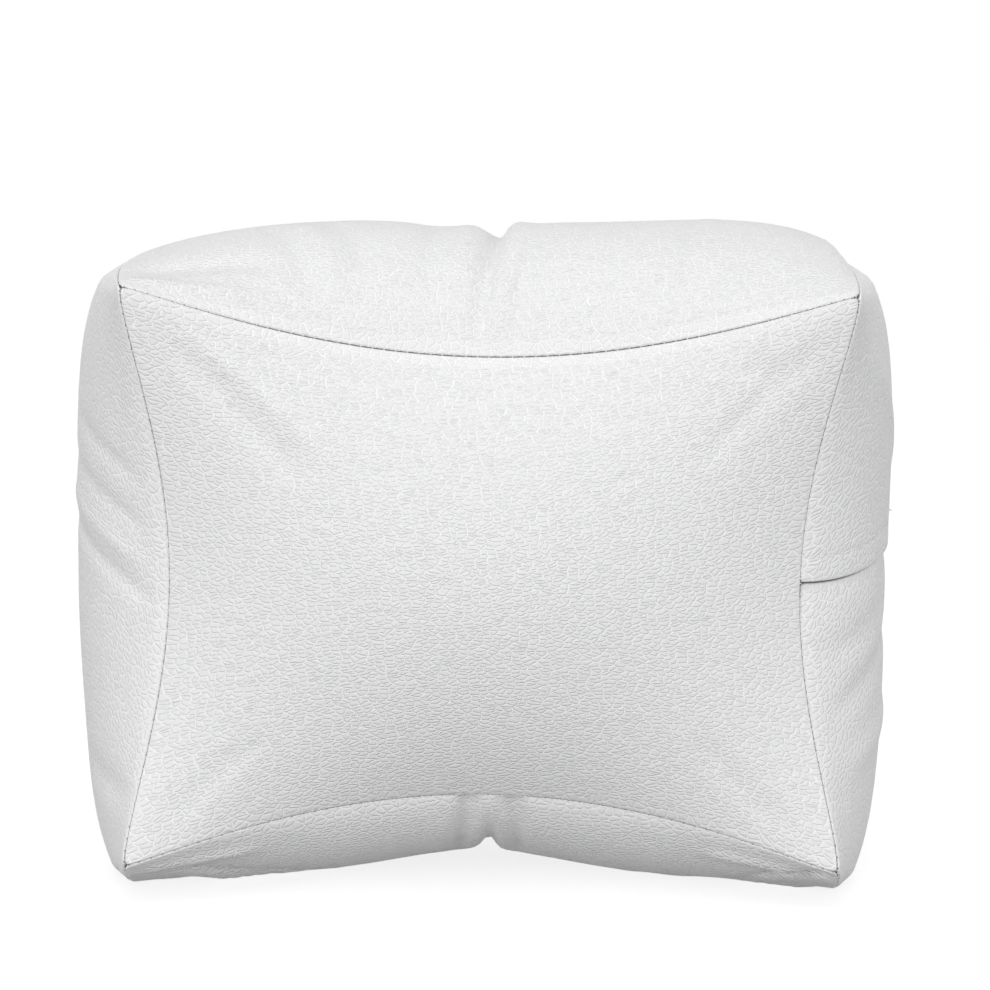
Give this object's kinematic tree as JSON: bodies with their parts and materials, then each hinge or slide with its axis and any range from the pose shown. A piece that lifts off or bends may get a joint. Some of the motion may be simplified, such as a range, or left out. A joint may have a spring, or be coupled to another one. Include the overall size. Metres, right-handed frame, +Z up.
{
  "type": "manicure hand rest",
  "caption": "Stuffed box cushion sewn from leatherette panels, with curved seams and a lapped zip closure across one side, for resting the hands on during a manicure.",
  "frame": {"origin": "centre of the bounding box's bottom face, on the surface that the cushion stands on", "axes": "+Z up; front panel faces -Y; the closure is on the +X side"},
  "size_m": [0.2806, 0.144, 0.2242],
  "materials": {
    "leatherette": "white pebbled leatherette, satin",
    "thread": "white polyester thread, matte",
    "filling": "white fibre fill, matte",
    "zip_tape": "woven tape, matte",
    "zip_coil": "nylon coil",
    "zip_metal": "white painted zinc"
  },
  "bodies": {
    "cushion": {"front_panel": "leatherette", "back_panel": "leatherette", "top_panel": "leatherette", "bottom_panel": "leatherette", "left_panel": "leatherette", "right_upper_panel": "leatherette", "right_lower_panel": "leatherette", "filling": "filling", "front_seam_thread": "thread", "back_seam_thread": "thread", "corner_thread_top_left": "thread", "corner_thread_top_right": "thread", "corner_thread_bottom_left": "thread", "corner_thread_bottom_right": "thread", "lap_topstitch": "thread", "zip_tape_upper": "zip_tape", "zip_tape_lower": "zip_tape", "zip_coil_upper": "zip_coil", "zip_coil_lower": "zip_coil", "zip_stop_front": "zip_metal", "zip_stop_back": "zip_metal"},
    "slider": {"zip_slider": "zip_metal"}
  },
  "joints": [
    {"name": "zip_slide", "type": "hinge", "parent": "cushion", "child": "slider", "pos_m": [0.0911, 0, 0.1132], "axis": [0, 0, 1], "range_deg": [0, 123]}
  ]
}
